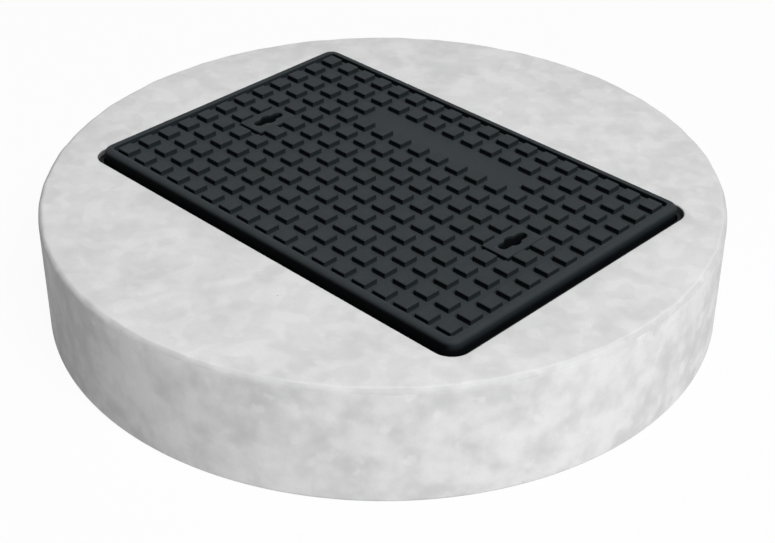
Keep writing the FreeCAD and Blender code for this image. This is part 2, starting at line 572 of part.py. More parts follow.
def side_bars(doc, name, edge, z, along_x):
    """Two bars on each side of the opening, cut to end inside the ring bars, along X or else along Y."""
    bars = []
    for side in (-1, 1):
        for turn in (0, 1):
            across = f"({edge} / 2 + Sizes.bar_side_gap + {turn} * Sizes.bar_pitch)"
            reach = f"(sqrt({RING_RADIUS} ^ 2 - {across} ^ 2) - Sizes.bar_end_gap)"
            start = (f"-{reach}", f"{side} * {across}")
            x, y = start if along_x else start[::-1]
            axis = (1, 0, 0) if along_x else (0, 1, 0)
            bars.append(rod(doc, f"{name}_{len(bars)}", "Sizes.bar_radius", f"2 * {reach}", x, y, z, axis))
    return group(doc, name, bars)


def corner_bars(doc, name, z):
    """One bar across each corner of the opening, at 45 degrees."""
    bars = []
    offset = "Sizes.corner_bar_gap"
    run = "Sizes.corner_bar_length * sqrt(2) / 4"
    for sign_x in (-1, 1):
        for sign_y in (-1, 1):
            x = f"{sign_x} * ({CLEAR_LENGTH} / 2 + {offset} + {run})"
            y = f"{sign_y} * ({CLEAR_WIDTH} / 2 + {offset} - {run})"
            label, slant = f"{name}_{len(bars)}", (-sign_x, sign_y, 0)
            bars.append(rod(doc, label, "Sizes.bar_radius", "Sizes.corner_bar_length", x, y, z, slant))
    return group(doc, name, bars)


def ring_links(doc, name, count):
    """Upright links just inside the two rings, evenly round the slab."""
    links = []
    radius = f"({RING_RADIUS} - Sizes.bar_radius - Sizes.link_radius - Sizes.tie_gap)"
    for index in range(count):
        angle = f"({index} + 0.5) * 360 / Sizes.link_count"
        x, y = f"{radius} * cos({angle})", f"{radius} * sin({angle})"
        length = f"{UPPER_RING_Z} - {LOWER_BAR_Z} + 2 * Sizes.bar_radius"
        foot = f"{LOWER_BAR_Z} - Sizes.bar_radius"
        links.append(rod(doc, f"{name}_{index}", "Sizes.link_radius", length, x, y, foot))
    return group(doc, name, links)


def make_steel(doc, sheet):
    """The reinforcement: two rings, the bars beside and across the opening, and the links."""
    return [
        make_ring(doc, "ring_bar_lower", LOWER_BAR_Z),
        make_ring(doc, "ring_bar_upper", UPPER_RING_Z),
        side_bars(doc, "long_bars_lower", CLEAR_WIDTH, LOWER_BAR_Z, True),
        side_bars(doc, "short_bars_lower", CLEAR_LENGTH, f"{LOWER_BAR_Z} + {BAR_LAYER}", False),
        corner_bars(doc, "corner_bars_lower", f"{LOWER_BAR_Z} + 2 * {BAR_LAYER}"),
        side_bars(doc, "long_bars_upper", CLEAR_WIDTH, UPPER_BAR_Z, True),
        side_bars(doc, "short_bars_upper", CLEAR_LENGTH, f"{UPPER_BAR_Z} - {BAR_LAYER}", False),
        ring_links(doc, "ring_links", int(sheet.link_count)),
    ]


def make_slab(doc, frame, steel):
    """The concrete, cast round the frame's lugs and the reinforcement."""
    blank = make_slab_blank(doc)
    cast_in = doc.addObject("Part::Compound", "cast_in_pieces")
    cast_in.Links = [frame] + steel
    slab = doc.addObject("Part::Cut", "concrete_slab")
    slab.Label = "concrete_slab"
    slab.Base = blank
    slab.Tool = cast_in
    return slab


def check(doc, pieces):
    """Stops if a feature failed or a piece is no sound solid."""
    for obj in doc.Objects:
        if "Invalid" in obj.State or "Error" in obj.State:
            raise RuntimeError(f"{obj.Name} failed: {obj.getStatusString()}")
    for piece in pieces:
        shape = piece.Shape
        if shape.isNull() or not shape.isValid() or not shape.Solids:
            raise RuntimeError(f"{piece.Label} is no valid solid")


def main():
    doc = FreeCAD.newDocument("cover_slab")
    sheet = make_sheet(doc)
    frame = make_frame(doc)
    steel = make_steel(doc, sheet)
    pieces = [make_slab(doc, frame, steel), frame, make_gasket(doc), make_cover(doc)]
    pieces += steel
    for name, side in (("left", -1), ("right", 1)):
        pieces.append(make_insert(doc, f"key_insert_{name}", side))
        pieces.append(make_cup(doc, f"key_cup_{name}", side))
        pieces.append(make_screws(doc, f"key_cup_screws_{name}", side))
    doc.recompute()
    check(doc, pieces)
    os.makedirs("parts", exist_ok=True)
    for piece in pieces:
        shape = piece.Shape
        shape.exportStep(os.path.join("parts", f"{piece.Label}.step"))
        print(f"{piece.Label}: {len(shape.Solids)} solids, {shape.Volume / 1000:.1f} cm3")


main()
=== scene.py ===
import math

import bmesh
import bpy
import numpy as np
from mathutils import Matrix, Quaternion, Vector


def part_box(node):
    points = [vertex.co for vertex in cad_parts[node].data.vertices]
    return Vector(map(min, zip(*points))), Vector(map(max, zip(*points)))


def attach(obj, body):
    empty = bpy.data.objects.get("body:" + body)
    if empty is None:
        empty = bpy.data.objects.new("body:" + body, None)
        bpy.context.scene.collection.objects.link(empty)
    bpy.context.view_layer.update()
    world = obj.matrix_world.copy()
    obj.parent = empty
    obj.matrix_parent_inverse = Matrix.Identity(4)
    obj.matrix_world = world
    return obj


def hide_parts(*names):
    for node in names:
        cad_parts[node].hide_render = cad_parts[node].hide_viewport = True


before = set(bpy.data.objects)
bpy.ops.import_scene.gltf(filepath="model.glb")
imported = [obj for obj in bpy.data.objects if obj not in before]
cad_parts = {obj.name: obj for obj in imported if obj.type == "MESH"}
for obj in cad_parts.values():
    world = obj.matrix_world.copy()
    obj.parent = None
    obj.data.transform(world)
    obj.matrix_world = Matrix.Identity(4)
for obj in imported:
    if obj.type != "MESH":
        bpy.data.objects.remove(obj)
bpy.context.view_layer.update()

# A round concrete cover slab with a cast iron tread cover in it. Metres, +Z up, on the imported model's frame.
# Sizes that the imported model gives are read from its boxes. The others are written here once, in metres.

slab_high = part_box("concrete_slab")[1]
frame_low, frame_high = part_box("cover_frame")
cover_low, cover_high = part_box("tread_cover")
gasket_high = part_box("seat_gasket")[1]
insert_low, insert_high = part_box("key_insert_right")

# A plan is a rounded rectangle: half its size along X, half its size along Y, and its corner radius.
# A lip or fillet is a short list of points, each a step sideways and a step up from the edge that it rounds.

SLAB_RADIUS = slab_high.x
SLAB_TOP = slab_high.z
SLAB_TOP_ROUND = 0.009
SLAB_FOOT_ROUND = 0.005
EDGE_WANDER = 0.07
RECESS = (0.371, 0.254, 0.030)
RECESS_LIP = 0.0025
THROAT = (0.318, 0.201, 0.014)
THROAT_DRAFT = math.tan(math.radians(3))
LEDGE_FOOT = frame_low.z

COVER = (cover_high.x, cover_high.y, 0.019)
COVER_TOP = cover_high.z
COVER_FOOT = gasket_high.z
COVER_WALL = 0.014
COVER_FOOT_BEVEL = 0.001
RIM_ROUND = 0.008
STUD_COLUMNS, STUD_ROWS = 18, 12
STUD_PITCH = 0.0385
STUD_HALF = 0.012
STUD_HEIGHT = 0.008
STUD_DRAFT = math.tan(math.radians(4))
STUD_CORNER = 0.0016
STUD_EDGE = 0.0008
STUD_SUNK = 0.0004
STUD_FILLET_WIDTH, STUD_FILLET_HEIGHT = 0.0005, 0.0006
BAND_COLUMNS, BAND_ROW = 4, 3.5
FIELD = (0.3455, 0.230, 0.007)
FIELD_TOP = COVER_TOP - STUD_HEIGHT
FIELD_LIP = [(-0.0014, 0.0), (-0.0005, -0.0003), (0.0, -0.0012)]
FIELD_FILLET = [(0.0, 0.001), (0.0003, 0.0003), (0.001, 0.0)]
SKIN = 0.009
SKIN_FOOT = FIELD_TOP - SKIN
HOLLOW = (COVER[0] - COVER_WALL, COVER[1] - COVER_WALL, 0.007)
RIB_HALF = 0.0035
RIB_EDGE = 0.0008
RIB_FOOT = cover_low.z
RIB_STEP = 0.008
RIB_BAY = 3 * STUD_PITCH
RIB_IN_SKIN, RIB_IN_WALL = 0.004, 0.002

KEY_X = (insert_low.x + insert_high.x) / 2
KEY_TOP = insert_high.z
KEY_BLOCK = (0.02375, 0.0385, 0.004)
KEY_BLOCK_ROUND = 0.0018
KEY_FLANGE = (insert_high.x - KEY_X, insert_high.y, 0.004)
KEY_FLANGE_FOOT = insert_low.z
KEY_FLANGE_THICK = 0.005
KEY_FLANGE_BEVEL = 0.0006
WINDOW = (0.0240, 0.03875, 0.00425)
WINDOW_BEVEL = 0.0006
SLOT = (0.0075, 0.0270, 0.00735)
SLOT_EYE = 0.012
SLOT_LIP = [(0.0, -0.0009), (0.0003, -0.0003), (0.0009, 0.0)]

# Points along each straight side of the cover's loops, between the corners' arcs
LONG_POINTS, SHORT_POINTS = 21, 15
HALF_LONG_POINTS = (LONG_POINTS - 1) // 2
LEAST_CORNER = 0.0005
MERGE_GAP = 2e-6


# Shapes


def reach(angles, half_x, half_y, corner):
    """Distance from the middle of a rounded rectangle to its edge in each direction. It is half_x / |cos|
    where that meets the straight end, half_y / |sin| where it meets the straight side, and the far root of
    the corner circle's equation elsewhere."""
    c, s = np.abs(np.cos(angles)), np.abs(np.sin(angles))
    c, s = np.maximum(c, 1e-12), np.maximum(s, 1e-12)
    mid_x, mid_y = half_x - corner, half_y - corner
    along = mid_x * c + mid_y * s
    arc = along + np.sqrt(np.maximum(along**2 - (mid_x**2 + mid_y**2 - corner**2), 0))
    end, side = half_x / c, half_y / s
    return np.where(end * s <= mid_y, end, np.where(side * c <= mid_x, side, arc))


def directions(count, *shapes):
    """Angles round a full turn: even steps, and eleven more over each rounded corner of the given shapes,
    which run from the angle where the straight end stops to the angle where the straight side starts."""
    found = [np.linspace(0, 2 * math.pi, count, endpoint=False)]
    for half_x, half_y, corner in shapes:
        first, last = math.atan2(half_y - corner, half_x), math.atan2(half_y, half_x - corner)
        quarter = np.linspace(first, last, 11)
        found += [quarter, math.pi - quarter, math.pi + quarter, 2 * math.pi - quarter]
    return np.unique(np.round(np.concatenate(found) % (2 * math.pi), 7))


def loop(angles, distance, z, x=0.0):
    """Points at the given distance in each direction from a middle on the X axis, at the height z: distance
    * cos and distance * sin of the direction. Distance and height are one number, or one for each
    direction."""
    distance, z = np.broadcast_to(distance, angles.shape), np.broadcast_to(z, angles.shape)
    return np.column_stack([x + distance * np.cos(angles), distance * np.sin(angles), z])


def grown(plan, grow):
    """A plan whose half sizes and corner radius all grow by the same distance."""
    return plan[0] + grow, plan[1] + grow, plan[2] + grow


def outline(low, high, corners, sides, z, steps=6):
    """Anticlockwise loop round the box from low to high: at each corner an arc of its own radius in equal
    steps of a quarter turn, and along each side evenly spaced points. Order: right foot, right side, right
    top, top side, left top, left side, left foot, foot side."""
    quarter = np.linspace(0, math.pi / 2, steps + 1)
    arcs = []
    for turn, (x, y) in enumerate([(1, -1), (1, 1), (-1, 1), (-1, -1)]):
        radius = corners[turn]
        mid_x = high[0] - radius if x > 0 else low[0] + radius
        mid_y = high[1] - radius if y > 0 else low[1] + radius
        angle = quarter + (turn - 1) * math.pi / 2
        arcs.append(np.column_stack([mid_x + radius * np.cos(angle), mid_y + radius * np.sin(angle)]))
    points = []
    for turn in range(4):
        start, end = arcs[turn][-1], arcs[(turn + 1) % 4][0]
        share = np.linspace(0, 1, sides[turn] + 2)[1:-1, None]
        points += [arcs[turn], start + share * (end - start)]
    points = np.concatenate(points)
    return np.column_stack([points, np.full(len(points), z)])


def skin(loops, closed=False, caps=False):
    """Vertices and faces of a surface over loops of equal count. Point j of loop i, point j of loop i + 1
    and their next neighbours make one four-sided face. closed joins the last loop to the first, and caps
    fills both ends."""
    grid = np.stack(loops)
    rows, count = grid.shape[:2]
    i = np.arange(rows if closed else rows - 1)[:, None]
    j = np.arange(count)[None, :]
    here, above = i * count, (i + 1) % rows * count
    following = (j + 1) % count
    quads = np.stack([here + j, here + following, above + following, above + j], axis=-1)
    faces = quads.reshape(-1, 4).tolist()
    if caps:
        faces += [list(range(count))[::-1], list(range((rows - 1) * count, rows * count))]
    return grid.reshape(-1, 3), faces


def copies(shape, places):
    """The same vertices and faces at each place: every vertex plus every place's shift, and the faces'
    numbers raised by the vertex count for each copy."""
    points, faces = shape
    places = np.asarray(places, float)
    moved = (places[:, None, :] + points[None, :, :]).reshape(-1, 3)
    bases = range(0, len(places) * len(points), len(points))
    shifted = [[corner + base for corner in face] for base in bases for face in faces]
    return moved, shifted


def piece(name, shapes, body, node, finish, crease=35):
    """One object from several surfaces, with their doubles merged and faces outwards. It rides on a body,
    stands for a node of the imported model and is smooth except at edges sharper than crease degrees."""
    points, faces, base = [], [], 0
    for more_points, more_faces in shapes:
        points.append(more_points)
        faces += [[corner + base for corner in face] for face in more_faces]
        base += len(more_points)
    mesh = bpy.data.meshes.new(name)
    mesh.from_pydata(np.concatenate(points).tolist(), [], faces)
    work = bmesh.new()
    work.from_mesh(mesh)
    bmesh.ops.remove_doubles(work, verts=work.verts, dist=MERGE_GAP)
    bmesh.ops.dissolve_degenerate(work, edges=work.edges, dist=1e-7)
    bmesh.ops.recalc_face_normals(work, faces=work.faces)
    work.to_mesh(mesh)
    work.free()
    mesh.shade_smooth()
    mesh.set_sharp_from_angle(angle=math.radians(crease))
    mesh.materials.append(finish)
    made = bpy.data.objects.new(name, mesh)
    bpy.context.scene.collection.objects.link(made)
    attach(made, body)
    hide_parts(node)


# Finishes


class Finish:
    """A procedural material on Object coordinates, with short ways to add its nodes."""

    def __init__(self, name):
        self.material = bpy.data.materials.new(name)
        self.material.use_nodes = True
        self.tree = self.material.node_tree
        self.shader = self.tree.nodes["Principled BSDF"]
        self.place = self.tree.nodes.new("ShaderNodeTexCoord").outputs["Object"]

    def link(self, source, target):
        """Lead an output to an input."""
        self.tree.links.new(source, target)

    def noise(self, scale, detail=3.0, roughness=0.5, distortion=0.0):
        """Smooth noise from nought to one, scale patches to the metre."""
        node = self.tree.nodes.new("ShaderNodeTexNoise")
        node.inputs["Distortion"].default_value = distortion
        node.inputs["Scale"].default_value = scale
        node.inputs["Detail"].default_value = detail
        node.inputs["Roughness"].default_value = roughness
        self.link(self.place, node.inputs["Vector"])
        return node.outputs["Fac"]

    def cells(self, scale):
        """Distance to the nearest of scattered points, and a colour of its own for each point."""
        node = self.tree.nodes.new("ShaderNodeTexVoronoi")
        node.inputs["Scale"].default_value = scale
        self.link(self.place, node.inputs["Vector"])
        return node.outputs["Distance"], node.outputs["Color"]

    def span(self, value, low, high, to_low=0.0, to_high=1.0):
        """A soft step from to_low, where value is low or less, up to to_high, where it is high or more."""
        node = self.tree.nodes.new("ShaderNodeMapRange")
        node.interpolation_type = "SMOOTHSTEP"
        self.link(value, node.inputs["Value"])
        for name, number in (("From Min", low), ("From Max", high), ("To Min", to_low), ("To Max", to_high)):
            node.inputs[name].default_value = number
        return node.outputs["Result"]

    def math(self, operation, first, second):
        """A calculation on two values, each a number or another node's output."""
        node = self.tree.nodes.new("ShaderNodeMath")
        node.operation = operation
        for socket, value in zip(node.inputs, (first, second)):
            if isinstance(value, (int, float)):
                socket.default_value = value
            else:
                self.link(value, socket)
        return node.outputs[0]

    def blend(self, share, first, second):
        """A mix of two colours, all first where share is nought and all second where it is one."""
        node = self.tree.nodes.new("ShaderNodeMix")
        node.data_type = "RGBA"
        self.link(share, node.inputs["Factor"])
        for socket, value in ((node.inputs["A"], first), (node.inputs["B"], second)):
            if isinstance(value, tuple):
                socket.default_value = (*value, 1.0)
            else:
                self.link(value, socket)
        return node.outputs["Result"]

    def part(self, vector, axis):
        """One of the three numbers of a vector."""
        node = self.tree.nodes.new("ShaderNodeSeparateXYZ")
        self.link(vector, node.inputs[0])
        return node.outputs[axis]

    def part_of_place(self, axis):
        """How far along an axis the place is, in metres."""
        return self.part(self.place, axis)

    def within(self, axis, distance):
        """One where the place is nearer to the middle than distance along an axis, and nought elsewhere."""
        return self.math("LESS_THAN", self.math("ABSOLUTE", self.part_of_place(axis), 0.0), distance)

    def facing(self, axis):
        """How far the surface faces along an axis, from minus one to one."""
        return self.part(self.place.node.outputs["Normal"], axis)

    def channel(self, colour):
        """The first of a colour's three numbers."""
        node = self.tree.nodes.new("ShaderNodeSeparateColor")
        self.link(colour, node.inputs[0])
        return node.outputs[0]

    def bump(self, height, distance, strength=1.0, under=None):
        """A normal tilted by a height that reaches distance metres, over an earlier bump if there is
        one."""
        node = self.tree.nodes.new("ShaderNodeBump")
        node.inputs["Strength"].default_value = strength
        node.inputs["Distance"].default_value = distance
        self.link(height, node.inputs["Height"])
        if under:
            self.link(under, node.inputs["Normal"])
        return node.outputs["Normal"]

    def done(self, colour, roughness, normal, metal=0.0, specular=0.5):
        """The finished material, with its metal and specular shares set as constants."""
        self.link(colour, self.shader.inputs["Base Color"])
        self.link(roughness, self.shader.inputs["Roughness"])
        self.link(normal, self.shader.inputs["Normal"])
        self.shader.inputs["Metallic"].default_value = metal
        self.shader.inputs["Specular IOR Level"].default_value = specular
        return self.material


def concrete_finish():
    """Pale cast concrete: broad clouds, mottles and small blotches in the grey, fainter on the floated top
    than on the moulded side, a sandy grain, a few pinholes darkened inside as painted shade, rounded edges
    darkened a little in patches as painted shade that dulls their highlight, and the walls of the recess
    darkened nearly black as painted shade."""
    f = Finish("precast_concrete")
    warp = f.noise(9.0, 2.0)
    clouds = f.noise(5.0, 3.0, 0.5)
    mottles = f.noise(19.0, 2.0, 0.45, distortion=0.2)
    blotches = f.noise(48.0, 3.0, 0.5)
    grain = f.noise(420.0, 2.0, 0.6)
    tone = f.math("ADD", f.math("MULTIPLY", clouds, 0.30), f.math("MULTIPLY", mottles, 0.45))
    tone = f.math("ADD", tone, f.math("MULTIPLY", blotches, 0.25))
    colour = f.blend(f.span(tone, 0.36, 0.62), (0.570, 0.572, 0.572), (0.735, 0.735, 0.735))
    pale = f.span(f.noise(33.0, 2.0, 0.5), 0.60, 0.72, 0.0, 0.45)
    colour = f.blend(pale, colour, (0.80, 0.80, 0.80))
    up = f.facing("Z")
    blobs = f.span(f.noise(28.0, 1.5, 0.4, distortion=0.35), 0.46, 0.58)
    top = f.blend(blobs, (0.655, 0.656, 0.656), (0.740, 0.740, 0.740))
    colour = f.blend(f.span(up, 0.5, 0.95, 0.0, 0.5), colour, top)
    colour = f.blend(f.span(grain, 0.35, 0.7, 0.0, 0.12), colour, (0.50, 0.503, 0.503))
    distance, chance = f.cells(46.0)
    rare = f.span(f.channel(chance), 0.86, 0.88)
    hole = f.math("MULTIPLY", f.span(distance, 0.025, 0.045, 1.0, 0.0), rare)
    # Inside the pinholes the grey is darkened as painted shade.
    colour = f.blend(f.math("MULTIPLY", hole, 0.7), colour, (0.25, 0.25, 0.245))
    # The rounded top edge is darkened in patches as painted shade, which dulls the highlight that the lamp
    # puts on it.
    rounding = f.math("MULTIPLY", f.span(up, 0.05, 0.4), f.span(up, 0.82, 1.0, 1.0, 0.0))
    painted_edge_shade = f.math("MULTIPLY", rounding, f.span(f.noise(26.0, 2.0), 0.42, 0.60, 0.78, 0.40))
    colour = f.blend(painted_edge_shade, colour, (0.500, 0.502, 0.502))
    # The recess walls are darkened nearly to black as painted shade.
    inside = f.math("MULTIPLY", f.within("X", RECESS[0] + RECESS_LIP), f.within("Y", RECESS[1] + RECESS_LIP))
    painted_recess_shade = f.math("MULTIPLY", inside, f.span(up, 0.1, 0.8, 0.9, 0.0))
    colour = f.blend(painted_recess_shade, colour, (0.070, 0.071, 0.070))
    normal = f.bump(warp, 0.004, 0.25)
    normal = f.bump(grain, 0.0003, 0.2, normal)
    normal = f.bump(blotches, 0.0008, 0.25, normal)
    normal = f.bump(f.math("SUBTRACT", 1.0, hole), 0.0012, 0.8, normal)
    return f.done(colour, f.span(mottles, 0.3, 0.7, 0.84, 0.95), normal, specular=0.2)


def iron_finish(name, worn_height, shade_depth, least_low_shade=0.0):
    """Painted cast iron: a fine sand-cast skin, soft patches in the paint, faces at worn_height rubbed a
    little paler, and pale dust on the field below them. Painted shade darkens the upright walls, least on
    the +X side towards the lamp, which is painted light there, and everything from the given depth to twice
    that below worn_height. The last argument is its share above."""
    f = Finish(name)
    patches = f.noise(21.0, 5.0, 0.6)
    skin_grain = f.noise(900.0, 3.0, 0.55)
    pores = f.noise(260.0, 3.0, 0.6)
    colour = f.blend(f.span(patches, 0.3, 0.7), (0.029, 0.034, 0.037), (0.033, 0.039, 0.042))
    height = f.part_of_place("Z")
    high = f.span(height, worn_height - 0.0012, worn_height - 0.0002)
    rubbed = f.math("MULTIPLY", high, f.span(f.noise(70.0, 4.0, 0.65), 0.42, 0.68, 0.0, 0.25))
    colour = f.blend(rubbed, colour, (0.042, 0.049, 0.053))
    dust = f.span(height, worn_height - 0.0075, worn_height - 0.006, 0.42, 0.0)
    colour = f.blend(dust, colour, (0.041, 0.048, 0.051))
    colour = f.blend(f.span(pores, 0.56, 0.75, 0.0, 0.35), colour, (0.017, 0.020, 0.022))
    # Upright walls take a colour of painted shade: near black, and paler where they face +X towards the lamp,
    # as painted light.
    wall = f.blend(f.span(f.facing("X"), 0.2, 0.9), (0.0003, 0.0008, 0.0012), (0.012, 0.0155, 0.0178))
    colour = f.blend(f.span(f.facing("Z"), 0.15, 0.95), wall, colour)
    # Faces from the given depth to twice it below worn_height are darkened to near black as painted shade, and
    # higher faces keep the last argument's share of it.
    sunk = f.span(height, worn_height - 2 * shade_depth, worn_height - shade_depth, 1.0, least_low_shade)
    colour = f.blend(sunk, colour, f.blend(patches, (0.0012, 0.0015, 0.0018), (0.0035, 0.0042, 0.0048)))
    normal = f.bump(skin_grain, 0.00035, 0.5)
    normal = f.bump(pores, 0.0005, 0.3, normal)
    roughness = f.math("SUBTRACT", f.span(patches, 0.25, 0.75, 0.55, 0.68), f.math("MULTIPLY", rubbed, 0.1))
    return f.done(colour, roughness, normal, specular=0.05)


def rubber_finish():
    """Black gasket rubber with a dull, slightly mottled face."""
    f = Finish("gasket_rubber")
    patches = f.noise(90.0, 4.0, 0.6)
    colour = f.blend(patches, (0.012, 0.012, 0.013), (0.030, 0.030, 0.031))
    normal = f.bump(f.noise(1500.0, 2.0), 0.0002, 0.5)
    return f.done(colour, f.span(patches, 0.3, 0.7, 0.65, 0.85), normal, specular=0.35)


def plastic_finish():
    """Black moulded plastic with a fine spark-eroded grain, its black made deeper than the plastic's own as
    painted shade for the key slots above the cups.
    """
    f = Finish("cup_plastic")
    grain = f.noise(1800.0, 2.0)
    patches = f.noise(60.0, 4.0)
    # These blacks are deeper than the plastic's own, as painted shade for the key slots above the cups.
    colour = f.blend(patches, (0.004, 0.004, 0.005), (0.010, 0.010, 0.011))
    return f.done(colour, f.span(patches, 0.3, 0.7, 0.42, 0.55), f.bump(grain, 0.00012, 0.6))


def screw_finish():
    """Bright zinc-plated steel, a little cloudy."""
    f = Finish("screw_steel")
    patches = f.noise(400.0, 4.0)
    colour = f.blend(patches, (0.46, 0.47, 0.48), (0.62, 0.63, 0.63))
    return f.done(colour, f.span(patches, 0.3, 0.7, 0.28, 0.42), f.bump(patches, 0.0001, 0.4), metal=1.0)


def bar_finish():
    """Hot-rolled bar: brown-grey mill scale with rust in patches."""
    f = Finish("bar_steel")
    patches = f.noise(55.0, 5.0, 0.6)
    colour = f.blend(f.span(patches, 0.42, 0.62), (0.075, 0.065, 0.06), (0.20, 0.085, 0.045))
    grain = f.noise(900.0, 3.0)
    return f.done(colour, f.span(patches, 0.3, 0.7, 0.55, 0.85), f.bump(grain, 0.0004, 0.6))


# Pieces


def make_slab(finish):
    """The slab as one closed skin over loops in shared directions. From the shaft's foot it goes out over
    the underside to the round foot, up the side, over the top's rounding, in to the recess, down its wall
    and in along its floor, and back down the tapered shaft. The top's rounding wanders about its size by
    three sines of the direction, as an edge struck off by hand does."""
    angles = directions(288, RECESS, THROAT)
    taper = LEDGE_FOOT * THROAT_DRAFT
    inner = loop(angles, reach(angles, THROAT[0] - taper, THROAT[1] - taper, THROAT[2] / 2), 0)
    edge = [(SLAB_RADIUS - SLAB_FOOT_ROUND, 0.0)]
    arc = np.linspace(0, math.pi / 2, 9)
    for a in arc[1:]:
        edge.append((SLAB_RADIUS - SLAB_FOOT_ROUND * (1 - math.sin(a)), SLAB_FOOT_ROUND * (1 - math.cos(a))))
    for share in (0.25, 0.5, 0.75):
        edge.append((SLAB_RADIUS, SLAB_FOOT_ROUND + share * (SLAB_TOP - SLAB_FOOT_ROUND - SLAB_TOP_ROUND)))
    wander = np.sin(23 * angles + 1) + np.sin(37 * angles + 2 * np.sin(3 * angles)) + np.sin(61 * angles + 4)
    top_round = SLAB_TOP_ROUND * (1 + EDGE_WANDER * wander)
    for a in arc:
        edge.append((SLAB_RADIUS - top_round * (1 - math.cos(a)), SLAB_TOP - top_round * (1 - math.sin(a))))
    circles = [loop(angles, radius, z) for radius, z in edge]
    loops = [inner] + [inner + share * (circles[0] - inner) for share in (0.33, 0.67)] + circles
    rim = loop(angles, reach(angles, *grown(RECESS, RECESS_LIP)), SLAB_TOP)
    loops += [circles[-1] + share * (rim - circles[-1]) for share in (0.33, 0.67)]
    for a in np.linspace(0, math.pi / 2, 6):
        wall = reach(angles, *grown(RECESS, RECESS_LIP * (1 - math.sin(a))))
        loops.append(loop(angles, wall, SLAB_TOP - RECESS_LIP * (1 - math.cos(a))))
    loops.append(loop(angles, reach(angles, *RECESS), LEDGE_FOOT))
    loops.append(loop(angles, reach(angles, *THROAT), LEDGE_FOOT))
    loops.append(loops[-1] + 0.5 * (inner - loops[-1]))
    piece("slab_concrete", [skin(loops, closed=True)], "slab", "concrete_slab", finish)


def drawn_in(plan, inset):
    """A plan drawn in by inset on all sides, with at least a small corner radius left."""
    return plan[0] - inset, plan[1] - inset, max(plan[2] - inset, LEAST_CORNER)


def whole(plan, inset, z):
    """The loop of a plan about the middle, drawn in by inset. Its long sides have a point at x = 0."""
    half_x, half_y, corner = drawn_in(plan, inset)
    sides = [SHORT_POINTS, LONG_POINTS] * 2
    return outline((-half_x, -half_y), (half_x, half_y), [corner] * 4, sides, z)


def half(plan, inset, z, side):
    """The loop round the right or left half of a plan, with the same points as the whole loop."""
    half_x, half_y, corner = drawn_in(plan, inset)
    sides = [SHORT_POINTS, HALF_LONG_POINTS] * 2
    if side > 0:
        return outline((0, -half_y), (half_x, half_y), [corner, corner, 0, 0], sides, z)
    return outline((-half_x, -half_y), (0, half_y), [0, 0, corner, corner], sides, z)


def window(side, grow, z):
    """The loop of a key window, with as many points as the half loop."""
    half_x, half_y, corner = grown(WINDOW, grow)
    middle = side * KEY_X
    sides = [SHORT_POINTS, HALF_LONG_POINTS] * 2
    return outline((middle - half_x, -half_y), (middle + half_x, half_y), [corner] * 4, sides, z)


def stud():
    """One stud as a closed skin over four rounded squares: the foot sunk in the field, the top of its
    fillet, the wall's top drawn in by the draft, and the top face's edge drawn in by the edge round."""
    levels = [(-STUD_SUNK, STUD_FILLET_WIDTH), (STUD_FILLET_HEIGHT, 0)]
    levels += [(STUD_HEIGHT - STUD_EDGE, 0), (STUD_HEIGHT, -STUD_EDGE)]
    loops = []
    for height, grow in levels:
        size = STUD_HALF + (STUD_HEIGHT - height) * STUD_DRAFT + grow
        corners = [STUD_CORNER + grow] * 4
        loops.append(outline((-size, -size), (size, size), corners, [0] * 4, height, steps=2))
    return skin(loops, caps=True)


def stud_places():
    """Where the studs stand: the whole grid, without the bare band and the key inserts' places."""
    columns, rows = np.arange(STUD_COLUMNS), np.arange(STUD_ROWS)
    x, y = np.meshgrid(columns - columns.mean(), rows - rows.mean())
    band = (np.abs(x) < BAND_COLUMNS) & (y == BAND_ROW)
    beside_key = np.abs(np.abs(x) - KEY_X / STUD_PITCH) < 0.1
    keep = ~(band | beside_key & (np.abs(y) < 1))
    return np.column_stack([x[keep] * STUD_PITCH, y[keep] * STUD_PITCH, np.full(keep.sum(), FIELD_TOP)])


def rib(end, step, across, along_x):
    """One rib as a closed skin: its side outline, which reaches end at the wall and steps down inside step,
    carried across its thickness in four loops whose outer two are lifted by the edge round."""
    top, foot = SKIN_FOOT + RIB_IN_SKIN, COVER_FOOT
    side = np.array([(-end, top), (-end, foot), (-step, foot), (-step, RIB_FOOT),
                     (step, RIB_FOOT), (step, foot), (end, foot), (end, top)])
    flat = RIB_HALF - RIB_EDGE
    loops = []
    for shift, lift in ((-RIB_HALF, RIB_EDGE), (-flat, 0), (flat, 0), (RIB_HALF, RIB_EDGE)):
        z = side[:, 1] + np.where(side[:, 1] < SKIN_FOOT, lift, 0)
        fixed = np.full(len(side), across + shift)
        loops.append(np.column_stack([side[:, 0], fixed, z] if along_x else [fixed, side[:, 0], z]))
    return skin(loops, caps=True)


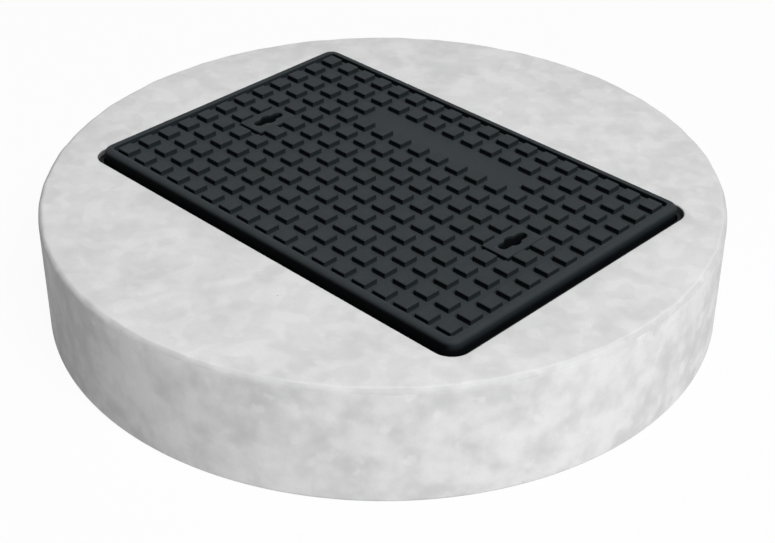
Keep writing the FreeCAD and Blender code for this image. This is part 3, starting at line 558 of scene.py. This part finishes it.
def make_cover(finish):
    """The tread cover. Its wall and rim are one profile carried round the plan, and its floor runs from the
    rim's foot to each key window on either half. Studs and ribs are set on the skin."""
    bevel, bevel_top = COVER_FOOT_BEVEL, COVER_FOOT + COVER_FOOT_BEVEL
    loops = [whole(HOLLOW, 0, SKIN_FOOT), whole(HOLLOW, 0, bevel_top), whole(HOLLOW, -bevel, COVER_FOOT)]
    loops += [whole(COVER, bevel, COVER_FOOT), whole(COVER, 0, bevel_top)]
    for a in np.linspace(0, math.pi / 2, 11):
        inset = RIM_ROUND * (1 - math.cos(a))
        loops.append(whole(COVER, inset, COVER_TOP - RIM_ROUND * (1 - math.sin(a))))
    loops += [whole(FIELD, inset, COVER_TOP + lift) for inset, lift in FIELD_LIP]
    loops += [whole(FIELD, inset, FIELD_TOP + lift) for inset, lift in FIELD_FILLET]
    shapes = [skin(loops)]
    for side in (-1, 1):
        around = [half(FIELD, FIELD_FILLET[-1][0], FIELD_TOP, side), window(side, WINDOW_BEVEL, FIELD_TOP)]
        around += [window(side, 0, FIELD_TOP - WINDOW_BEVEL), window(side, 0, SKIN_FOOT)]
        shapes.append(skin(around + [half(HOLLOW, 0, SKIN_FOOT, side)]))
    shapes.append(copies(stud(), stud_places()))
    for bays in (-1.5, -0.5, 0.5, 1.5):
        shapes.append(rib(HOLLOW[0] + RIB_IN_WALL, THROAT[0] - RIB_STEP, bays * RIB_BAY, True))
    inner, outer = KEY_X - RIB_BAY / 2, KEY_X + RIB_BAY / 2
    for across in (-outer, -inner, -inner / 2, 0, inner / 2, inner, outer):
        shapes.append(rib(HOLLOW[1] + RIB_IN_WALL, THROAT[1] - RIB_STEP, across, False))
    piece("cover_casting", shapes, "cover", "tread_cover", finish)


def make_insert(side, finish):
    """A key insert as one closed skin over loops in shared directions: up the key slot's wall, out over the
    block's top, down its rounded edge and side, and out and round the flange."""
    word = "left" if side < 0 else "right"
    x = side * KEY_X
    # The angle at which the slot's side runs into its round middle
    meet = math.atan2(math.sqrt(SLOT_EYE**2 - SLOT[0] ** 2), SLOT[0])
    angles = directions(128, KEY_BLOCK, SLOT, KEY_FLANGE)
    angles = np.unique(np.concatenate([angles, [meet, math.pi - meet, math.pi + meet, 2 * math.pi - meet]]))

    def slot_loop(grow, z):
        """The slot's outline: the further of the straight slot's edge and the round middle's in each
        direction."""
        return loop(angles, np.maximum(reach(angles, *grown(SLOT, grow)), SLOT_EYE + grow), z, x)

    def block_loop(plan, inset, z):
        """A plan drawn in by inset, with its corner radius nine tenths of that less, so that some is always
        left."""
        return loop(angles, reach(angles, plan[0] - inset, plan[1] - inset, plan[2] - inset * 0.9), z, x)

    flange_top = KEY_FLANGE_FOOT + KEY_FLANGE_THICK
    loops = [slot_loop(0, KEY_FLANGE_FOOT)] + [slot_loop(grow, KEY_TOP + lift) for grow, lift in SLOT_LIP]
    for a in np.linspace(0, math.pi / 2, 6)[::-1]:
        inset, drop = KEY_BLOCK_ROUND * (1 - math.cos(a)), KEY_BLOCK_ROUND * (1 - math.sin(a))
        loops.append(block_loop(KEY_BLOCK, inset, KEY_TOP - drop))
    loops += [block_loop(KEY_BLOCK, 0, flange_top), block_loop(KEY_FLANGE, KEY_FLANGE_BEVEL, flange_top)]
    loops.append(block_loop(KEY_FLANGE, 0, flange_top - KEY_FLANGE_BEVEL))
    loops.append(block_loop(KEY_FLANGE, 0, KEY_FLANGE_FOOT))
    node = f"key_insert_{word}"
    piece(f"key_plate_{word}", [skin(loops, closed=True)], "cover", node, finish)


# Put together

concrete = concrete_finish()
# On the cover the painted shade darkens the rim's outer wall and the skirt from 8 mm below the top.
iron = iron_finish("cover_iron", COVER_TOP, 0.008)
# In the key inserts the painted shade blackens the slot's walls from 2.5 mm down.
key_iron = iron_finish("key_iron", KEY_TOP, 0.0025)
# The frame keeps six tenths of the painted shade above its low part too, so that it reads as in deep shade.
frame_iron = iron_finish("frame_iron", frame_high.z, 0.004, 0.6)
rubber, plastic, screw, bar = rubber_finish(), plastic_finish(), screw_finish(), bar_finish()

make_slab(concrete)
make_cover(iron)
make_insert(-1, key_iron)
make_insert(1, key_iron)

CARRIED_OVER = {
    "cover_frame": frame_iron,
    "seat_gasket": rubber,
    "key_cup_left": plastic,
    "key_cup_right": plastic,
    "key_cup_screws_left": screw,
    "key_cup_screws_right": screw,
}
for node_name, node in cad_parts.items():
    if node.hide_render:
        continue
    node.data.materials.clear()
    node.data.materials.append(CARRIED_OVER.get(node_name, bar))


# Floor, light and camera

FLOOR_HALF = 60.0
FLOOR_DROP = 0.0005
FLOOR_GREY = 0.66
FLOOR_WHITENESS = 0.95
SKY_LIGHT, SKY_SEEN = 0.16, 1.0
LAMP_PLACE, LAMP_TARGET = Vector((8.95, -1.90, 11.35)), Vector((0, 0, 0.1))
LAMP_SIZE, LAMP_POWER = 5.4, 2290
CAMERA_PLACE = Vector((1.4545, -1.4872, 1.3978))
CAMERA_HEADING, CAMERA_DIP, CAMERA_ROLL = math.radians(134.16), math.radians(33.452), math.radians(0.383)
CAMERA_LENS, CAMERA_SENSOR = 76.03, 36.0
CAMERA_SIGHT_END = 200


def seen_rays(nodes, links):
    """One for rays from the camera, off reflections and through glass, and nought for those that carry the
    light."""
    path = nodes.new("ShaderNodeLightPath")
    found = path.outputs["Is Camera Ray"]
    for kind in ("Is Glossy Ray", "Is Transmission Ray"):
        either = nodes.new("ShaderNodeMath")
        either.operation = "MAXIMUM"
        links.new(found, either.inputs[0])
        links.new(path.outputs[kind], either.inputs[1])
        found = either.outputs[0]
    return found


def floor_finish():
    """White to the camera and to reflections, and a plain pale floor to the light that falls on it."""
    material = bpy.data.materials.new("floor_white")
    material.use_nodes = True
    nodes, links = material.node_tree.nodes, material.node_tree.links
    nodes.clear()
    plain = nodes.new("ShaderNodeBsdfDiffuse")
    plain.inputs["Color"].default_value = (FLOOR_GREY, FLOOR_GREY, FLOOR_GREY, 1)
    white = nodes.new("ShaderNodeEmission")
    white.inputs["Color"].default_value = (1, 1, 1, 1)
    white.inputs["Strength"].default_value = 1.0
    whiteness = nodes.new("ShaderNodeMath")
    whiteness.operation = "MULTIPLY"
    links.new(seen_rays(nodes, links), whiteness.inputs[0])
    whiteness.inputs[1].default_value = FLOOR_WHITENESS
    mix = nodes.new("ShaderNodeMixShader")
    links.new(whiteness.outputs[0], mix.inputs[0])
    links.new(plain.outputs[0], mix.inputs[1])
    links.new(white.outputs[0], mix.inputs[2])
    out = nodes.new("ShaderNodeOutputMaterial")
    links.new(mix.outputs[0], out.inputs["Surface"])
    return material


def make_floor():
    """A flat square floor, a hair under the slab."""
    size = FLOOR_HALF
    mesh = bpy.data.meshes.new("floor")
    corners = [(-size, -size, 0), (size, -size, 0), (size, size, 0), (-size, size, 0)]
    mesh.from_pydata(corners, [], [(0, 1, 2, 3)])
    mesh.materials.append(floor_finish())
    floor = bpy.data.objects.new("floor", mesh)
    floor.location.z = -FLOOR_DROP
    bpy.context.scene.collection.objects.link(floor)


def make_sky():
    """A soft dim sky for the light, which shows as white where the camera or a reflection looks past the
    floor."""
    world = bpy.data.worlds.new("studio")
    bpy.context.scene.world = world
    world.use_nodes = True
    nodes, links = world.node_tree.nodes, world.node_tree.links
    back = nodes["Background"]
    back.inputs["Color"].default_value = (1.0, 1.0, 1.0, 1)
    level = nodes.new("ShaderNodeMapRange")
    links.new(seen_rays(nodes, links), level.inputs["Value"])
    level.inputs["To Min"].default_value = SKY_LIGHT
    level.inputs["To Max"].default_value = SKY_SEEN
    links.new(level.outputs["Result"], back.inputs["Strength"])


def make_lamp():
    """A large square lamp high beyond the slab's +X side, which faces the slab."""
    data = bpy.data.lights.new("key_lamp", "AREA")
    data.shape = "SQUARE"
    data.size = LAMP_SIZE
    data.energy = LAMP_POWER
    made = bpy.data.objects.new("key_lamp", data)
    made.location = LAMP_PLACE
    made.rotation_euler = (LAMP_TARGET - LAMP_PLACE).to_track_quat("-Z", "Y").to_euler()
    bpy.context.scene.collection.objects.link(made)


def make_camera():
    """The camera, turned to the compass heading and dipped, then rolled about its line of sight."""
    data = bpy.data.cameras.new("camera")
    data.lens = CAMERA_LENS
    data.sensor_width = CAMERA_SENSOR
    data.clip_end = CAMERA_SIGHT_END
    made = bpy.data.objects.new("camera", data)
    made.location = CAMERA_PLACE
    sight = Vector((math.cos(CAMERA_HEADING), math.sin(CAMERA_HEADING), -math.tan(CAMERA_DIP)))
    made.rotation_euler = (sight.to_track_quat("-Z", "Y") @ Quaternion((0, 0, 1), CAMERA_ROLL)).to_euler()
    bpy.context.scene.collection.objects.link(made)
    bpy.context.scene.camera = made


make_floor()
make_sky()
make_lamp()
make_camera()
bpy.context.scene.view_settings.view_transform = "Standard"
